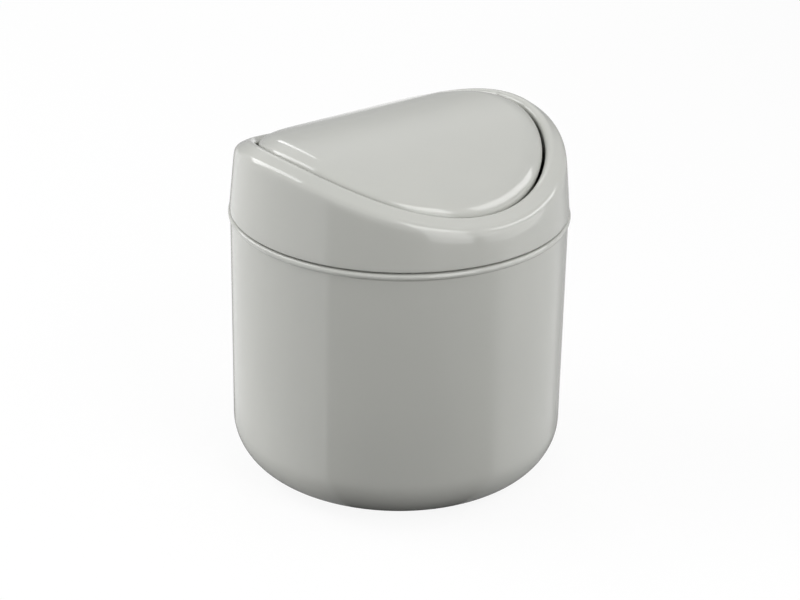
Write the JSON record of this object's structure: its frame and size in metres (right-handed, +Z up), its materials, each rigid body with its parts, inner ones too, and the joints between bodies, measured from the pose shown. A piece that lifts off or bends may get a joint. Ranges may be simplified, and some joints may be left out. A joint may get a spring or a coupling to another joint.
{
  "type": "countertop trash can with swing lid",
  "caption": "Small round trash can with a rounded bottom corner and a wave-topped lid, whose pillow-edged round flap swings both ways about the line between the wave's high points.",
  "frame": {"origin": "centre of the base, on the surface the can stands on", "axes": "+Z up, +X along the flap's hinge line between the wave's two high points, -Y the front"},
  "size_m": [0.141, 0.141, 0.1503],
  "materials": {
    "shell_plastic": "glossy, warm light grey",
    "pin_steel": "plain turned steel",
    "bar_steel": "plain drawn steel"
  },
  "bodies": {
    "bin": {"bin_body": "shell_plastic"},
    "lid": {"lid_frame": "shell_plastic", "hinge_pin_left": "pin_steel", "hinge_pin_right": "pin_steel"},
    "flap": {"swing_flap": "shell_plastic", "counterweight_bar": "bar_steel"}
  },
  "joints": [
    {"name": "lid_lift", "type": "slide", "parent": "bin", "child": "lid", "axis": [0, 0, 1], "range_m": [0, 0.05]},
    {"name": "flap_swing", "type": "hinge", "parent": "lid", "child": "flap", "pos_m": [0, 0, 0.14375], "axis": [1, 0, 0], "range_deg": [-65, 65]}
  ]
}
